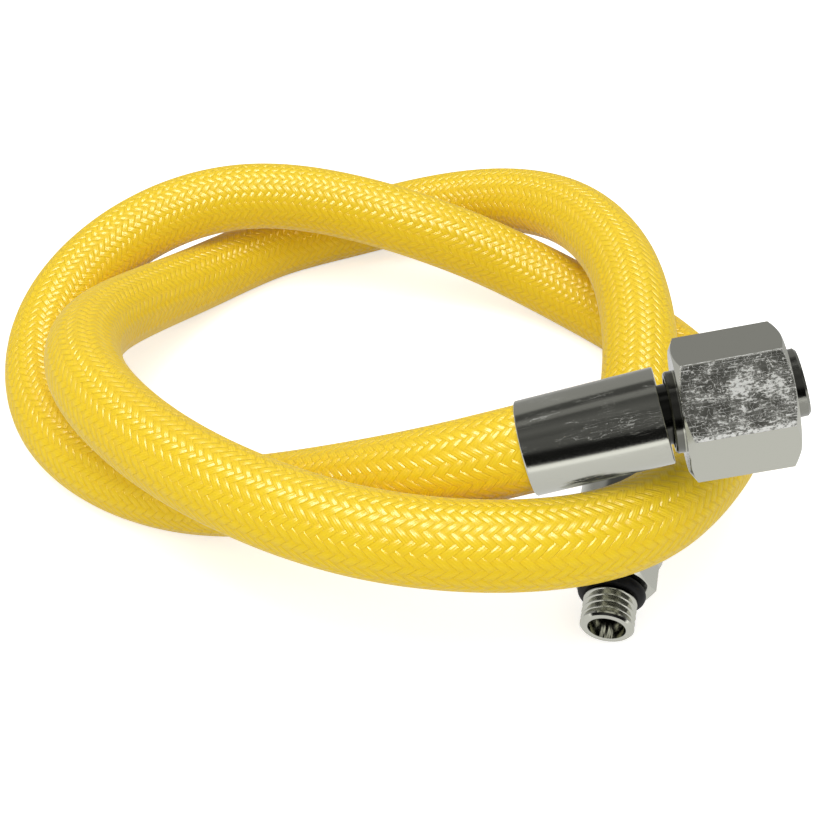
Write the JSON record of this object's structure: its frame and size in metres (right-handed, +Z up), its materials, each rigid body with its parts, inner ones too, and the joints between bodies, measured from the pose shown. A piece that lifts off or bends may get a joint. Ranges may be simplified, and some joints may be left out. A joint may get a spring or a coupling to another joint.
{
  "type": "gas regulator hose",
  "caption": "Yellow braided low-pressure regulator hose laid in a loose coil, with a hexagon swivel nut at one end and an O-ring thread at the other.",
  "frame": {"origin": "middle of the box around the laid hose, on the surface it lies on", "axes": "+Z up from the surface; the swivel end points along +X and up, the port end points along -Y"},
  "size_m": [0.1305, 0.1279, 0.0486],
  "materials": {
    "plated_brass": "bright nickel plate, lightly scratched",
    "seal_rubber": "matte",
    "liner_rubber": "smooth",
    "inner_yarn": "woven yarn",
    "yellow_braid": "tight braided yarn, slightly glossy"
  },
  "bodies": {
    "hose": {"swivel_ferrule": "plated_brass", "swivel_stem": "plated_brass", "nose_o_ring": "seal_rubber", "hose_liner": "liner_rubber", "hose_reinforcement": "inner_yarn", "hose_cover": "yellow_braid", "port_ferrule": "plated_brass", "port_stem": "plated_brass", "port_o_ring": "seal_rubber"},
    "nut": {"swivel_nut": "plated_brass"}
  },
  "joints": [
    {"name": "nut_turn", "type": "hinge", "parent": "hose", "child": "nut", "pos_m": [0.04435, -0.0455, 0.0362], "axis": [0.9751, 0, 0.2219], "continuous": true}
  ]
}
